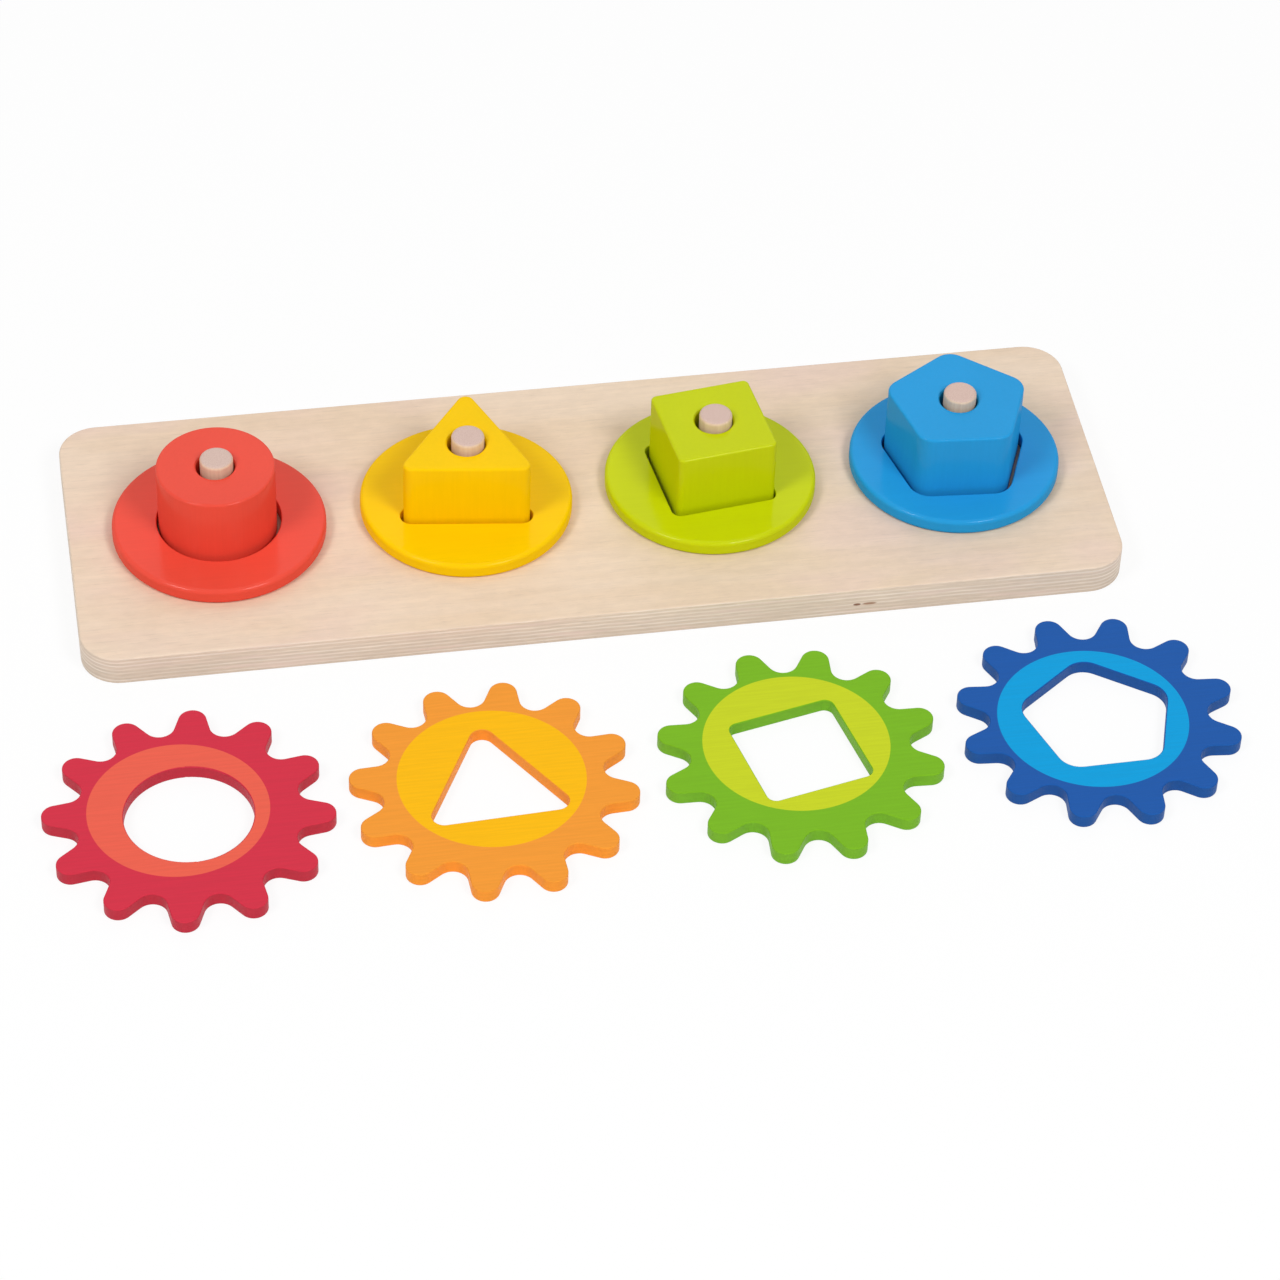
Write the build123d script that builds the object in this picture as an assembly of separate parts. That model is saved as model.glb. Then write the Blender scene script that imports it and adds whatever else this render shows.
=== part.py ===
from build123d import *
import math
import os

# A wooden gear and shape board. Four glued pegs stand in a plywood board. A shaped block turns on
# each peg, a round spacer disc with a hole of the block's shape lies round the block, and four
# twelve-toothed gears, each with one shaped hole, lie in front of the board. Put over the blocks,
# the gears stand one pitch apart and mesh.
# Millimetres. +X runs along the board, +Y is away from the gears and +Z is up. The origin is the
# centre of the board's underside, which is also the level that the loose gears lie on.

# Gear train: the distance from peg to peg is the gears' pitch diameter
gear_teeth = 12
station_pitch = 91.0
STATION_ORDER = ("round", "triangle", "square", "pentagon")
station_gaps = len(STATION_ORDER) - 1

# Board: as long as the row of pegs and a margin at each end
board_end_margin = 53.5
board_length = station_gaps * station_pitch + 2 * board_end_margin
board_width = 125.0
board_thickness = 12.0
board_corner_radius = 14.0
board_edge_round = 0.8

# Where the middle of the row of pegs stands, from the middle of the board
peg_row_x = 1.2
peg_row_y = 0.8

# Pegs
peg_diameter = 12.0
peg_rise = 34.6
peg_seat_depth = 8.0
peg_top_round = 1.2
peg_foot_chamfer = 0.6

# Blocks: the inradius runs from the bore's axis to the middle of a side
block_height = 31.0
block_edge_round = 0.9
bore_play = 1.1
bore_chamfer = 0.5
corner_count = {"round": 0, "triangle": 3, "square": 4, "pentagon": 5}
block_inradius = {"round": 21.4, "triangle": 14.6, "square": 18.7, "pentagon": 22.4}
block_corner_radius = {"triangle": 3.2, "square": 2.2, "pentagon": 7.0}

# Spacer discs
disc_diameter = 77.6
disc_thickness = 6.0
disc_edge_round = 1.6
disc_hole_play = 1.2
disc_hole_round = 0.4

# Where each loose block lies across the play round its peg, and each loose disc across the play
# round its block, in shares of that play along X and Y
block_lie = {
    "round": (-0.45, -0.36),
    "triangle": (-0.45, 0.0),
    "square": (-0.5, 0.36),
    "pentagon": (-0.36, 0.0),
}
disc_lie = {
    "round": (0.33, -0.67),
    "triangle": (-0.08, 0.0),
    "square": (-0.42, -0.42),
    "pentagon": (0.0, -0.75),
}

# Gears
gear_thickness = 5.4
gear_addendum = 5.1
gear_dedendum = 6.6
tooth_crest_radius = 5.0
tooth_root_radius = 5.4
gear_edge_round = 0.5
gear_hole_play = 1.1
gear_pitch_radius = station_pitch / 2
gear_tip_radius = gear_pitch_radius + gear_addendum
gear_root_radius = gear_pitch_radius - gear_dedendum

# The loose gears lie in a row in front of the board, each a little off its even place
gear_row_gap = 6.1
gear_board_gap = 19.95
gear_stray_x = {"round": 1.6, "triangle": 0.2, "square": 1.4, "pentagon": 1.9}
gear_stray_y = {"round": -1.4, "triangle": -1.8, "square": 0.4, "pentagon": 2.8}

# Turns in degrees from +X: one corner of each block and its disc, then of each gear's hole, then
# one tooth of each gear
block_turn_deg = {"round": 0.0, "triangle": 83.0, "square": 52.5, "pentagon": 86.0}
gear_hole_turn_deg = {"round": 0.0, "triangle": 93.0, "square": 57.7, "pentagon": 90.9}
gear_tooth_turn_deg = {"round": 23.2, "triangle": 18.3, "square": 12.9, "pentagon": 10.0}


def steps_from_middle(shape):
    """How many places a shape stands from the middle of its row."""
    return STATION_ORDER.index(shape) - station_gaps / 2


def station(shape):
    """Where a shape's peg stands on the board."""
    return Pos(peg_row_x + station_pitch * steps_from_middle(shape), peg_row_y, 0)


def block_place(shape):
    """Where a shape's block lies round its peg."""
    share_x, share_y = block_lie[shape]
    return station(shape) * Pos(share_x * bore_play, share_y * bore_play, 0)


def disc_place(shape):
    """Where a shape's disc lies round its block."""
    share_x, share_y = disc_lie[shape]
    return block_place(shape) * Pos(share_x * disc_hole_play, share_y * disc_hole_play, 0)


def gear_place(shape):
    """Where a shape's gear lies in front of the board."""
    spacing = 2 * gear_tip_radius + gear_row_gap
    x = spacing * steps_from_middle(shape) + gear_stray_x[shape]
    y = -board_width / 2 - gear_board_gap - gear_tip_radius + gear_stray_y[shape]
    return Pos(x, y, 0)


def outline(shape, play, turn_deg):
    """The shape's rounded outline, grown by a play, with one corner turned from +X."""
    inradius = block_inradius[shape] + play
    if shape == "round":
        return Circle(inradius)
    polygon = RegularPolygon(
        inradius, corner_count[shape], major_radius=False, rotation=turn_deg, align=None
    )
    return fillet(polygon.vertices(), block_corner_radius[shape] + play)


def top_and_bottom_edges(solid):
    """The edges that bound the flat top and bottom faces."""
    faces = solid.faces().sort_by(Axis.Z)
    return faces[0].edges() + faces[-1].edges()


def make_board():
    """The plywood board with a blind seat drilled for each peg."""
    plan = RectangleRounded(board_length, board_width, board_corner_radius)
    board = extrude(plan, board_thickness)
    board = fillet(top_and_bottom_edges(board), board_edge_round)
    seat = extrude(Circle(peg_diameter / 2), peg_seat_depth)
    for shape in STATION_ORDER:
        board -= station(shape) * Pos(0, 0, board_thickness - peg_seat_depth) * seat
    return board


def make_peg():
    """A dowel from the bottom of its seat to above its block, with a rounded top."""
    peg = extrude(Circle(peg_diameter / 2), peg_seat_depth + peg_rise)
    peg = fillet(peg.edges().sort_by(Axis.Z)[-1], peg_top_round)
    peg = chamfer(peg.edges().sort_by(Axis.Z)[0], peg_foot_chamfer)
    return Pos(0, 0, board_thickness - peg_seat_depth) * peg


def make_block(shape):
    """A shaped block, bored through to turn freely on its peg."""
    block = extrude(outline(shape, 0, block_turn_deg[shape]), block_height)
    block = fillet(top_and_bottom_edges(block), block_edge_round)
    block -= extrude(Circle(peg_diameter / 2 + bore_play), block_height)
    flats = block.faces().sort_by(Axis.Z)
    mouths = flats[0].inner_wires()[0].edges() + flats[-1].inner_wires()[0].edges()
    block = chamfer(mouths, bore_chamfer)
    return Pos(0, 0, board_thickness) * block


def make_disc(shape):
    """A spacer disc with a rounded rim and a hole of its block's shape."""
    disc = extrude(Circle(disc_diameter / 2), disc_thickness)
    disc = fillet(top_and_bottom_edges(disc), disc_edge_round)
    disc -= extrude(outline(shape, disc_hole_play, block_turn_deg[shape]), disc_thickness)
    flats = disc.faces().sort_by(Axis.Z)
    mouths = flats[0].inner_wires()[0].edges() + flats[-1].inner_wires()[0].edges()
    disc = fillet(mouths, disc_hole_round)
    return Pos(0, 0, board_thickness) * disc


def gear_outline():
    """Round crests and round roots, joined by straight flanks that touch both arcs."""
    pitch_deg = 360 / gear_teeth
    half_pitch = math.radians(pitch_deg / 2)
    crest = Vector(gear_tip_radius - tooth_crest_radius, 0)
    root_direction = Vector(math.cos(half_pitch), math.sin(half_pitch))
    root = root_direction * (gear_root_radius + tooth_root_radius)

    # The flank is the inner tangent of the crest's circle and the root's circle
    across = root - crest
    lean = math.acos((tooth_crest_radius + tooth_root_radius) / across.length)
    heading = math.atan2(across.Y, across.X) - lean
    normal = Vector(math.cos(heading), math.sin(heading))
    flank_top = crest + normal * tooth_crest_radius
    flank_foot = root - normal * tooth_root_radius
    next_foot = Vector(flank_foot.X, -flank_foot.Y).rotate(Axis.Z, pitch_deg)
    next_top = Vector(flank_top.X, -flank_top.Y).rotate(Axis.Z, pitch_deg)

    tooth = [
        ThreePointArc(Vector(flank_top.X, -flank_top.Y), Vector(gear_tip_radius, 0), flank_top),
        Line(flank_top, flank_foot),
        ThreePointArc(flank_foot, root_direction * gear_root_radius, next_foot),
        Line(next_foot, next_top),
    ]
    turns = [count * pitch_deg for count in range(gear_teeth)]
    return Face(Wire([piece.rotate(Axis.Z, turn).edge() for turn in turns for piece in tooth]))


def make_gear(shape):
    """A flat gear with a hole of its block's shape."""
    teeth = Rot(0, 0, gear_tooth_turn_deg[shape]) * gear_outline()
    hole = outline(shape, gear_hole_play, gear_hole_turn_deg[shape])
    gear = extrude(teeth, gear_thickness) - extrude(hole, gear_thickness)
    gear = fillet(top_and_bottom_edges(gear), gear_edge_round)
    return gear_place(shape) * gear


def save(node, solid):
    """Write one node's STEP file."""
    solid.label = node
    export_step(solid, os.path.join("parts", node + ".step"))


os.makedirs("parts", exist_ok=True)
save("base_board", make_board())
for shape in STATION_ORDER:
    save("peg_" + shape, station(shape) * make_peg())
    save("block_" + shape, block_place(shape) * make_block(shape))
    save("disc_" + shape, disc_place(shape) * make_disc(shape))
    save("gear_" + shape, make_gear(shape))
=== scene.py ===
import math

import bpy
from mathutils import Matrix, Vector


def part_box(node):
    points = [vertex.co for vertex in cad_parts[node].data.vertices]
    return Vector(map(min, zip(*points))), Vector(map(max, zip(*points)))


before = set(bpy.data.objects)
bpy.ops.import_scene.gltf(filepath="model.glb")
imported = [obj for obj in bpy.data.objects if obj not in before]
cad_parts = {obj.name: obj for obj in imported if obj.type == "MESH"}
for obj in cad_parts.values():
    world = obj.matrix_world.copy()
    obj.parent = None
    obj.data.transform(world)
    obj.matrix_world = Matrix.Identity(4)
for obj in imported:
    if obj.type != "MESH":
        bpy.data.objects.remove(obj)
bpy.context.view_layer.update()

# ---------------------------------------------------------------- sizes, in millimetres unless named
MM = 0.001
SHAPES = ("round", "triangle", "square", "pentagon")

# Camera: where the photograph was taken from, in the part's own frame
CAMERA_PLACE = Vector((-0.2163, -1.2517, 1.1690))
CAMERA_AZIMUTH_DEG = -10.76
CAMERA_ELEVATION_DEG = 44.065
CAMERA_ROLL_DEG = 2.117
FOCAL_LENGTH_PX = 4674.7
IMAGE_PX = 1280
SENSOR_WIDTH = 36.0

# Light: the point that the square lamps face and their distance from the origin, in metres. Then
# each lamp's azimuth and elevation in degrees, its side in metres and its power in watts
LAMP_AIM = Vector((0.0, -0.05, 0.0))
LAMP_DISTANCE = 2.6
LAMPS = {
    "key_left": (-58.0, 49.0, 0.74, 23.2),
    "key_right": (30.0, 48.0, 0.74, 27.4),
    "back": (172.0, 46.0, 2.08, 10.2),
}
AMBIENT_LEVEL = 0.35

# Floor: half its width in metres, how far it lies under the part, its grey, and how much of what
# is seen of it is plain white
FLOOR_REACH = 3.0
FLOOR_DROP = 0.05
FLOOR_GREY = 0.94
FLOOR_WHITE_SHARE = 0.88

# Plywood: the plies, how far their lines waver, and the small dark knots in the front edge, by
# their middles along X and their half lengths
PLY_COUNT = 7
PLY_WAVER = 0.9
BOARD_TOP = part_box("base_board")[1].z / MM
KNOT_HEIGHT = 4.95
KNOT_HALF_HEIGHT = 0.55
SHORT_KNOT = (89.0, 1.4)
LONG_KNOT = (93.6, 2.6)

# Grain under the blocks' paint, upright, and under the discs', along X: waves per millimetre
BLOCK_GRAIN = (0.9, 0.9, 0.04)
DISC_GRAIN = (0.04, 0.9, 0.9)

# The lighter circle printed on each gear: its centre from the gear's own centre, its radius, and
# half the width over which its edge blurs
PRINT_EDGE_BLUR = 0.12
PRINT_OFFSETS = {
    "round": (-3.4, 2.4),
    "triangle": (-0.5, 3.3),
    "square": (-0.9, 3.6),
    "pentagon": (-2.4, -0.9),
}
PRINT_RADII = {"round": 31.5, "triangle": 33.0, "square": 33.0, "pentagon": 33.9}


# ---------------------------------------------------------------- colours
def srgb(red, green, blue):
    """A linear colour with alpha from 0-255 sRGB values."""
    channels = []
    for value in (red / 255, green / 255, blue / 255):
        channels.append(value / 12.92 if value <= 0.04045 else ((value + 0.055) / 1.055) ** 2.4)
    return (*channels, 1.0)


WHITE = (1.0, 1.0, 1.0, 1.0)
BLOCK_PAINTS = {
    "round": srgb(237, 79, 61),
    "triangle": srgb(252, 204, 3),
    "square": srgb(199, 210, 4),
    "pentagon": srgb(37, 156, 220),
}
# The weight of the clear film over the paint, which mirrors the lamps as lines along round edges
BLOCK_COATS = {"round": 0.32, "triangle": 0.15, "square": 0.24, "pentagon": 0.22}
COAT_ROUGHNESS = 0.15
GEAR_PAINTS = {
    "round": srgb(207, 47, 69),
    "triangle": srgb(240, 152, 56),
    "square": srgb(118, 179, 38),
    "pentagon": srgb(32, 85, 164),
}
GEAR_WALL_PAINTS = {
    "round": srgb(192, 46, 64),
    "triangle": srgb(247, 152, 52),
    "square": srgb(118, 178, 46),
    "pentagon": srgb(34, 82, 153),
}
GEAR_PRINTS = {
    "round": srgb(232, 96, 76),
    "triangle": srgb(248, 185, 20),
    "square": srgb(196, 209, 40),
    "pentagon": srgb(14, 156, 217),
}
# The gears' paint tints what it mirrors
GEAR_SHEENS = {
    "round": srgb(255, 215, 205),
    "triangle": srgb(255, 235, 40),
    "square": srgb(255, 255, 50),
    "pentagon": srgb(110, 235, 255),
}


# ---------------------------------------------------------------- shader graph helper
class Graph:
    """A material's node tree, with short calls for the nodes that the finishes share."""

    def __init__(self, name):
        self.material = bpy.data.materials.new(name)
        self.material.use_nodes = True
        self.tree = self.material.node_tree
        self.tree.nodes.clear()
        coordinates = self.tree.nodes.new("ShaderNodeTexCoord")
        self.place = self.vector("MULTIPLY", coordinates.outputs["Object"], (1 / MM,) * 3)
        self.x, self.y, self.z = self.split(self.place)
        self.normal_z = self.split(coordinates.outputs["Normal"])[2]

    def link(self, source, socket):
        """Joins another node's output to a socket, or sets the socket to a plain value."""
        if hasattr(source, "is_output"):
            self.tree.links.new(source, socket)
        else:
            socket.default_value = source

    def math(self, operation, a, b=0.0):
        node = self.tree.nodes.new("ShaderNodeMath")
        node.operation = operation
        self.link(a, node.inputs[0])
        self.link(b, node.inputs[1])
        return node.outputs[0]

    def vector(self, operation, a, b):
        node = self.tree.nodes.new("ShaderNodeVectorMath")
        node.operation = operation
        self.link(a, node.inputs[0])
        self.link(b, node.inputs[1])
        return node.outputs[0]

    def split(self, vector):
        node = self.tree.nodes.new("ShaderNodeSeparateXYZ")
        self.link(vector, node.inputs[0])
        return node.outputs[0], node.outputs[1], node.outputs[2]

    def step(self, value, low, high, out_low=0.0, out_high=1.0):
        """A smooth step from out_low at low to out_high at high."""
        node = self.tree.nodes.new("ShaderNodeMapRange")
        node.interpolation_type = "SMOOTHSTEP"
        for socket, setting in zip(node.inputs, (value, low, high, out_low, out_high)):
            self.link(setting, socket)
        return node.outputs[0]

    def noise(self, per_mm, detail=3.0, roughness=0.5, shift=(0.0, 0.0, 0.0), distortion=0.0):
        """Noise with its own number of waves per millimetre along X, Y and Z."""
        stretched = self.vector("MULTIPLY", self.vector("ADD", self.place, shift), per_mm)
        node = self.tree.nodes.new("ShaderNodeTexNoise")
        self.link(stretched, node.inputs["Vector"])
        node.inputs["Scale"].default_value = 1.0
        node.inputs["Detail"].default_value = detail
        node.inputs["Roughness"].default_value = roughness
        node.inputs["Distortion"].default_value = distortion
        return node.outputs["Fac"]

    def mix(self, share, a, b, blend="MIX"):
        node = self.tree.nodes.new("ShaderNodeMix")
        node.data_type = "RGBA"
        node.blend_type = blend
        self.link(share, node.inputs["Factor"])
        self.link(a, node.inputs["A"])
        self.link(b, node.inputs["B"])
        return node.outputs["Result"]

    def tint(self, colour, value, low, high, dark, light):
        """The colour times a grey that runs from dark to light as value goes from low to high."""
        grey = self.step(value, low, high, dark, light)
        joined = self.tree.nodes.new("ShaderNodeCombineXYZ")
        for socket in joined.inputs:
            self.link(grey, socket)
        return self.mix(1.0, colour, joined.outputs[0], blend="MULTIPLY")

    def bump(self, height, distance, strength, under=None):
        """A bump whose height is in shares of a distance in millimetres, over the one under it."""
        node = self.tree.nodes.new("ShaderNodeBump")
        node.inputs["Strength"].default_value = strength
        node.inputs["Distance"].default_value = distance * MM
        self.link(height, node.inputs["Height"])
        if under is not None:
            self.link(under, node.inputs["Normal"])
        return node.outputs["Normal"]

    def surface(self, colour, roughness, normal, specular, sheen_tint=WHITE, coat=0.0):
        """Ends the graph in a Principled surface."""
        shader = self.tree.nodes.new("ShaderNodeBsdfPrincipled")
        self.link(colour, shader.inputs["Base Color"])
        self.link(roughness, shader.inputs["Roughness"])
        self.link(normal, shader.inputs["Normal"])
        shader.inputs["Specular IOR Level"].default_value = specular
        shader.inputs["Specular Tint"].default_value = sheen_tint
        shader.inputs["Coat Weight"].default_value = coat
        shader.inputs["Coat Roughness"].default_value = COAT_ROUGHNESS
        output = self.tree.nodes.new("ShaderNodeOutputMaterial")
        self.link(shader.outputs[0], output.inputs["Surface"])
        return self.material


def dress(node, material):
    """Gives a CAD node its finish."""
    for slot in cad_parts[node].material_slots:
        slot.material = material


# ---------------------------------------------------------------- finishes
def knot_mark(g, knot):
    """1 inside a small dark dash in an inner ply of the board's front edge, and 0 outside."""
    middle_x, half_length = knot
    along = g.math("DIVIDE", g.math("SUBTRACT", g.x, middle_x), half_length)
    across = g.math("DIVIDE", g.math("SUBTRACT", g.z, KNOT_HEIGHT), KNOT_HALF_HEIGHT)
    squares = g.math("ADD", g.math("MULTIPLY", along, along), g.math("MULTIPLY", across, across))
    inside = g.step(squares, 0.5, 1.4, 1.0, 0.0)
    return g.math("MULTIPLY", inside, g.math("LESS_THAN", g.y, 0.0))


def plywood():
    """Pale birch plywood: streaked veneer on the flats, plies and glue lines on the edges."""
    g = Graph("birch_plywood")
    clouds = g.noise((0.010, 0.045, 0.05), detail=4.0, roughness=0.55)
    face = g.mix(g.step(clouds, 0.36, 0.64), srgb(235, 213, 190), srgb(230, 206, 180))
    rosy = g.noise((0.014, 0.03, 0.05), detail=2.0, shift=(340.0, 90.0, 0.0))
    face = g.mix(g.step(rosy, 0.45, 0.70, 0.0, 0.75), face, srgb(232, 205, 190))
    mottling = g.noise((0.15, 0.32, 0.32), detail=3.0, roughness=0.6, shift=(21.0, 64.0, 0.0))
    face = g.tint(face, mottling, 0.34, 0.66, 0.974, 1.018)
    streaks = g.noise((0.028, 0.55, 0.55), detail=5.0, roughness=0.66, distortion=0.2)
    face = g.tint(face, streaks, 0.32, 0.68, 0.963, 1.018)
    dashes = g.noise((0.10, 1.5, 1.5), detail=3.0, roughness=0.6, shift=(40.0, 12.0, 3.0))
    face = g.tint(face, dashes, 0.56, 0.72, 1.0, 0.93)
    pores = g.noise((0.30, 3.4, 3.4), detail=2.0, roughness=0.6, shift=(90.0, 31.0, 3.0))
    face = g.tint(face, pores, 0.62, 0.75, 1.0, 0.87)

    ply_thickness = BOARD_TOP / PLY_COUNT
    wave = g.math("SUBTRACT", g.noise((0.035, 0.035, 0.0), detail=3.0), 0.5)
    depth = g.math("ADD", g.z, g.math("MULTIPLY", wave, PLY_WAVER))
    layer = g.math("DIVIDE", depth, ply_thickness)
    from_middle = g.math("ABSOLUTE", g.math("SUBTRACT", g.math("FRACT", layer), 0.5))
    # The pale glue lines fade in and out along the edge, and a painted shade darkens the edge
    # towards the table.
    fading = g.noise((0.018, 0.018, 0.42), detail=3.0, roughness=0.6, shift=(15.0, 8.0, 2.0))
    strength = g.step(fading, 0.36, 0.59, 0.25, 1.0)
    line = g.math("MULTIPLY", g.step(from_middle, 0.15, 0.45), strength)
    edge = g.mix(line, srgb(219, 199, 178), srgb(239, 224, 209))
    edge = g.tint(edge, g.z, 0.0, BOARD_TOP, 0.90, 1.055)
    fibres = g.noise((0.14, 0.14, 2.6), detail=5.0, roughness=0.7, shift=(7.0, 21.0, 0.0))
    edge = g.tint(edge, fibres, 0.30, 0.70, 0.88, 1.06)
    patches = g.noise((0.03, 0.03, 0.5), detail=2.0, shift=(70.0, 5.0, 0.0))
    edge = g.mix(g.step(patches, 0.5, 0.72, 0.0, 0.6), edge, srgb(226, 202, 188))
    edge = g.mix(knot_mark(g, SHORT_KNOT), edge, srgb(138, 98, 76))
    edge = g.mix(knot_mark(g, LONG_KNOT), edge, srgb(166, 130, 106))

    flat = g.step(g.math("ABSOLUTE", g.normal_z), 0.55, 0.85)
    colour = g.mix(flat, edge, face)
    relief = g.bump(streaks, 0.10, 0.35)
    relief = g.bump(fibres, 0.10, 0.25, under=relief)
    roughness = g.step(streaks, 0.3, 0.7, 0.46, 0.56)
    return g.surface(colour, roughness, relief, specular=0.25)


def dowel():
    """Sanded beech: long fibres on the side, fine end grain on the top."""
    g = Graph("beech_dowel")
    fibres = g.noise((1.3, 1.3, 0.05), detail=4.0, roughness=0.6)
    side = g.mix(g.step(fibres, 0.35, 0.65), srgb(230, 203, 176), srgb(222, 192, 166))
    speckle = g.noise((2.6, 2.6, 2.6), detail=3.0, roughness=0.7, shift=(11.0, 3.0, 0.0))
    end = g.mix(g.step(speckle, 0.38, 0.62), srgb(218, 192, 181), srgb(206, 177, 165))
    colour = g.mix(g.step(g.normal_z, 0.55, 0.85), side, end)
    relief = g.bump(fibres, 0.04, 0.25)
    relief = g.bump(speckle, 0.05, 0.3, under=relief)
    return g.surface(colour, g.step(speckle, 0.3, 0.7, 0.5, 0.62), relief, specular=0.18)


def block_paint(shape, kind, grain):
    """Satin toy paint over wood whose grain just shows through."""
    g = Graph("%s_paint_%s" % (kind, shape))
    shift = (13.0 * SHAPES.index(shape), 29.0 if kind == "disc" else 5.0, 0.0)
    body = g.noise((0.03, 0.03, 0.03), detail=2.0, shift=shift)
    colour = g.tint(BLOCK_PAINTS[shape], body, 0.3, 0.7, 0.97, 1.012)
    streaks = g.noise(grain, detail=5.0, roughness=0.6, shift=shift, distortion=0.2)
    colour = g.tint(colour, streaks, 0.34, 0.66, 0.985, 1.007)
    relief = g.bump(streaks, 0.06, 0.30)
    orange_peel = g.noise((0.9, 0.9, 0.9), detail=2.0, shift=shift)
    relief = g.bump(orange_peel, 0.03, 0.3, under=relief)
    roughness = g.step(orange_peel, 0.3, 0.7, 0.38, 0.46)
    return g.surface(colour, roughness, relief, specular=0.0, coat=BLOCK_COATS[shape])


def gear_paint(shape):
    """Satin toy paint, with a lighter circle printed a little off centre on the top face."""
    g = Graph("gear_paint_%s" % shape)
    low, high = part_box("gear_" + shape)
    centre = (low + high) / 2
    offset = PRINT_OFFSETS[shape]
    from_x = g.math("SUBTRACT", g.x, centre.x / MM + offset[0])
    from_y = g.math("SUBTRACT", g.y, centre.y / MM + offset[1])
    squares = g.math("ADD", g.math("MULTIPLY", from_x, from_x), g.math("MULTIPLY", from_y, from_y))
    distance = g.math("SQRT", squares)
    rim = PRINT_RADII[shape]
    printed = g.step(distance, rim - PRINT_EDGE_BLUR, rim + PRINT_EDGE_BLUR, 1.0, 0.0)
    on_top = g.step(g.normal_z, 0.86, 0.97)
    colour = g.mix(g.step(g.normal_z, 0.1, 0.7), GEAR_WALL_PAINTS[shape], GEAR_PAINTS[shape])
    colour = g.mix(g.math("MULTIPLY", printed, on_top), colour, GEAR_PRINTS[shape])
    shift = (17.0 * SHAPES.index(shape), 3.0, 0.0)
    streaks = g.noise((0.05, 1.1, 1.1), detail=5.0, roughness=0.6, shift=shift)
    colour = g.tint(colour, streaks, 0.34, 0.66, 0.955, 1.02)
    relief = g.bump(streaks, 0.08, 0.35)
    roughness = g.step(streaks, 0.3, 0.7, 0.44, 0.52)
    return g.surface(colour, roughness, relief, specular=0.17, sheen_tint=GEAR_SHEENS[shape])


dress("base_board", plywood())
peg_finish = dowel()
for shape in SHAPES:
    dress("peg_" + shape, peg_finish)
    dress("block_" + shape, block_paint(shape, "block", BLOCK_GRAIN))
    dress("disc_" + shape, block_paint(shape, "disc", DISC_GRAIN))
    dress("gear_" + shape, gear_paint(shape))


# ---------------------------------------------------------------- stage, light and camera
def seen_rays(nodes, links):
    """1 for the rays that show the background: straight, mirrored or through glass. 0 for others."""
    path = nodes.new("ShaderNodeLightPath")
    seen = path.outputs["Is Camera Ray"]
    for kind in ("Is Glossy Ray", "Is Transmission Ray"):
        either = nodes.new("ShaderNodeMath")
        either.operation = "MAXIMUM"
        links.new(seen, either.inputs[0])
        links.new(path.outputs[kind], either.inputs[1])
        seen = either.outputs[0]
    return seen


def make_floor():
    """A pale floor that looks white to the camera and still takes soft shadows."""
    signs = ((-1, -1), (1, -1), (1, 1), (-1, 1))
    corners = [(x * FLOOR_REACH, y * FLOOR_REACH, -FLOOR_DROP * MM) for x, y in signs]
    mesh = bpy.data.meshes.new("floor")
    mesh.from_pydata(corners, [], [(0, 1, 2, 3)])
    floor = bpy.data.objects.new("floor", mesh)
    bpy.context.scene.collection.objects.link(floor)
    material = bpy.data.materials.new("floor_white")
    material.use_nodes = True
    nodes, links = material.node_tree.nodes, material.node_tree.links
    nodes.clear()
    output = nodes.new("ShaderNodeOutputMaterial")
    diffuse = nodes.new("ShaderNodeBsdfDiffuse")
    diffuse.inputs["Color"].default_value = (FLOOR_GREY, FLOOR_GREY, FLOOR_GREY, 1.0)
    glow = nodes.new("ShaderNodeEmission")
    glow.inputs["Color"].default_value = WHITE
    glow.inputs["Strength"].default_value = 1.0
    shown = nodes.new("ShaderNodeMixShader")
    shown.inputs["Fac"].default_value = FLOOR_WHITE_SHARE
    links.new(diffuse.outputs[0], shown.inputs[1])
    links.new(glow.outputs[0], shown.inputs[2])
    choice = nodes.new("ShaderNodeMixShader")
    links.new(seen_rays(nodes, links), choice.inputs["Fac"])
    links.new(diffuse.outputs[0], choice.inputs[1])
    links.new(shown.outputs[0], choice.inputs[2])
    links.new(choice.outputs[0], output.inputs["Surface"])
    mesh.materials.append(material)


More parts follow.
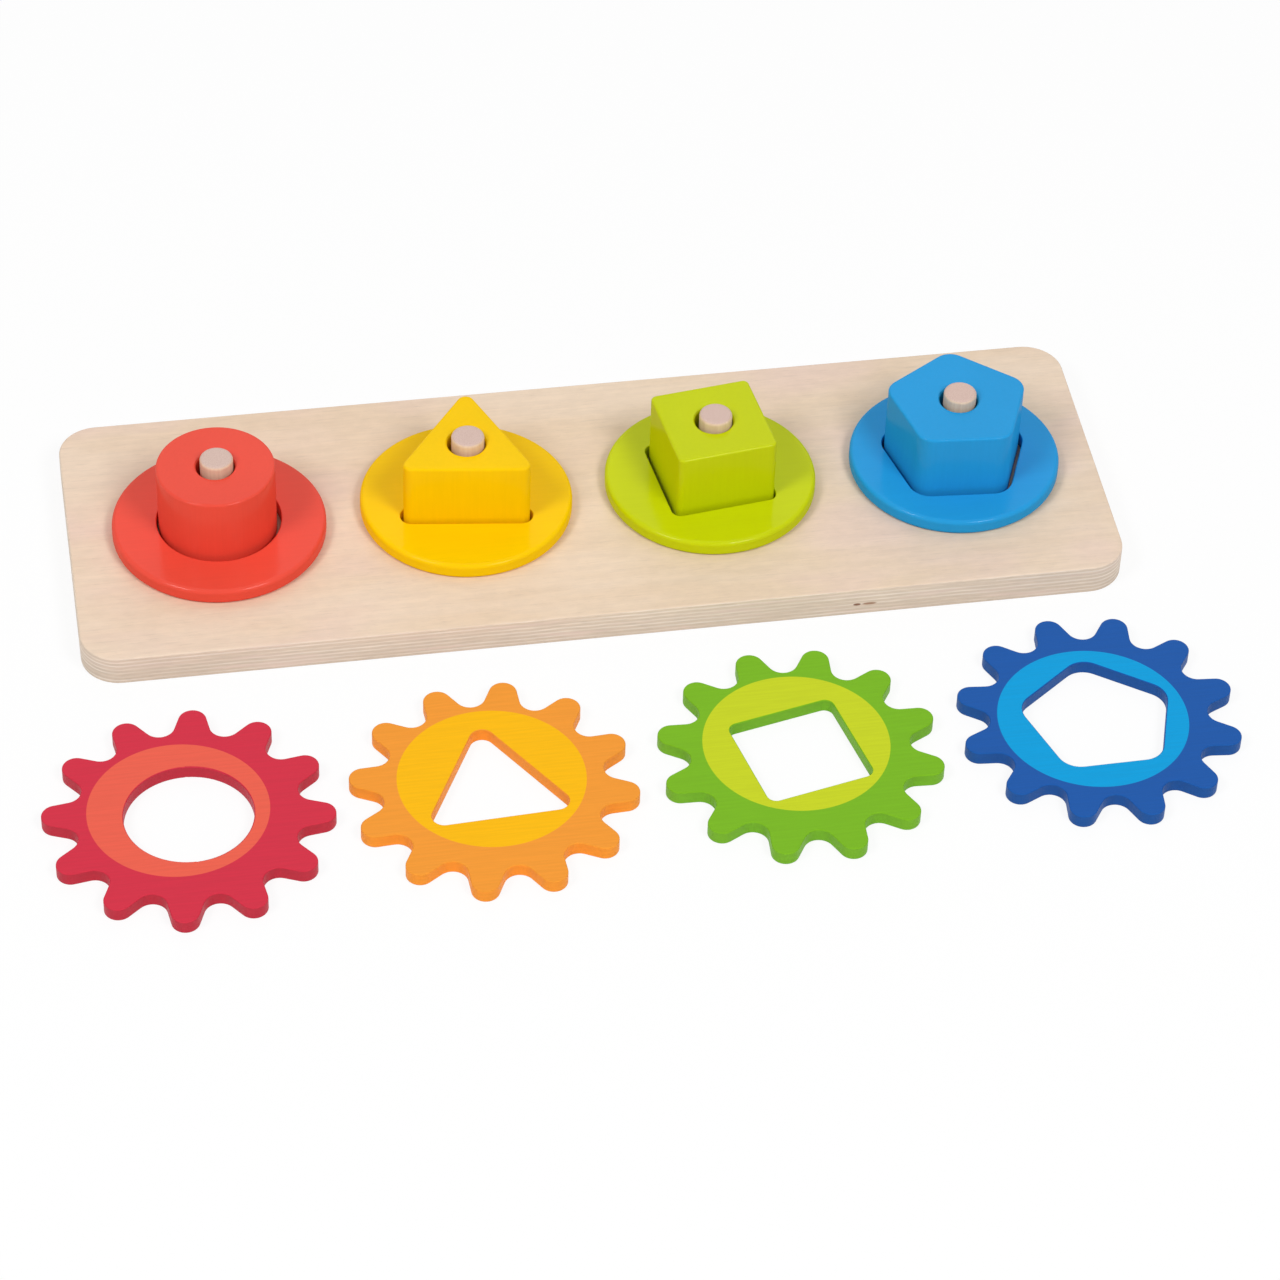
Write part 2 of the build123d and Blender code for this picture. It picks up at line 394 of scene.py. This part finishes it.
def make_world():
    """Soft white surroundings, which are plain white where they are seen or mirrored."""
    world = bpy.data.worlds.new("studio")
    bpy.context.scene.world = world
    world.use_nodes = True
    nodes, links = world.node_tree.nodes, world.node_tree.links
    nodes.clear()
    output = nodes.new("ShaderNodeOutputWorld")
    ambient = nodes.new("ShaderNodeBackground")
    ambient.inputs["Strength"].default_value = AMBIENT_LEVEL
    white = nodes.new("ShaderNodeBackground")
    white.inputs["Strength"].default_value = 1.0
    for background in (ambient, white):
        background.inputs["Color"].default_value = WHITE
    choice = nodes.new("ShaderNodeMixShader")
    links.new(seen_rays(nodes, links), choice.inputs["Fac"])
    links.new(ambient.outputs[0], choice.inputs[1])
    links.new(white.outputs[0], choice.inputs[2])
    links.new(choice.outputs[0], output.inputs["Surface"])


def direction(azimuth, elevation):
    """The unit vector at an azimuth, from the front towards the right, and an elevation."""
    return Vector(
        (
            math.sin(azimuth) * math.cos(elevation),
            -math.cos(azimuth) * math.cos(elevation),
            math.sin(elevation),
        )
    )


def make_softbox(name, azimuth_deg, elevation_deg, size, watts):
    """A square studio light that faces the table."""
    place = LAMP_DISTANCE * direction(math.radians(azimuth_deg), math.radians(elevation_deg))
    lamp = bpy.data.lights.new(name, "AREA")
    lamp.shape = "SQUARE"
    lamp.size = size
    lamp.energy = watts
    holder = bpy.data.objects.new(name, lamp)
    holder.location = place
    holder.rotation_euler = (LAMP_AIM - place).to_track_quat("-Z", "Y").to_euler()
    bpy.context.scene.collection.objects.link(holder)


def make_camera():
    """The photograph's own camera: place, direction, roll and focal length."""
    azimuth = math.radians(CAMERA_AZIMUTH_DEG)
    roll = math.radians(CAMERA_ROLL_DEG)
    back = direction(azimuth, math.radians(CAMERA_ELEVATION_DEG))
    level = Vector((math.cos(azimuth), math.sin(azimuth), 0.0))
    rise = back.cross(level)
    right = math.cos(roll) * level + math.sin(roll) * rise
    up = math.cos(roll) * rise - math.sin(roll) * level
    lens = bpy.data.cameras.new("photo_camera")
    lens.sensor_width = SENSOR_WIDTH
    lens.lens = FOCAL_LENGTH_PX / IMAGE_PX * SENSOR_WIDTH
    lens.clip_end = 20.0
    camera = bpy.data.objects.new("photo_camera", lens)
    turn = Matrix((right, up, back)).transposed().to_4x4()
    camera.matrix_world = Matrix.Translation(CAMERA_PLACE) @ turn
    bpy.context.scene.collection.objects.link(camera)
    bpy.context.scene.camera = camera


make_floor()
make_world()
for lamp_name, lamp_setting in LAMPS.items():
    make_softbox(lamp_name, *lamp_setting)
make_camera()
bpy.context.scene.view_settings.view_transform = "Standard"
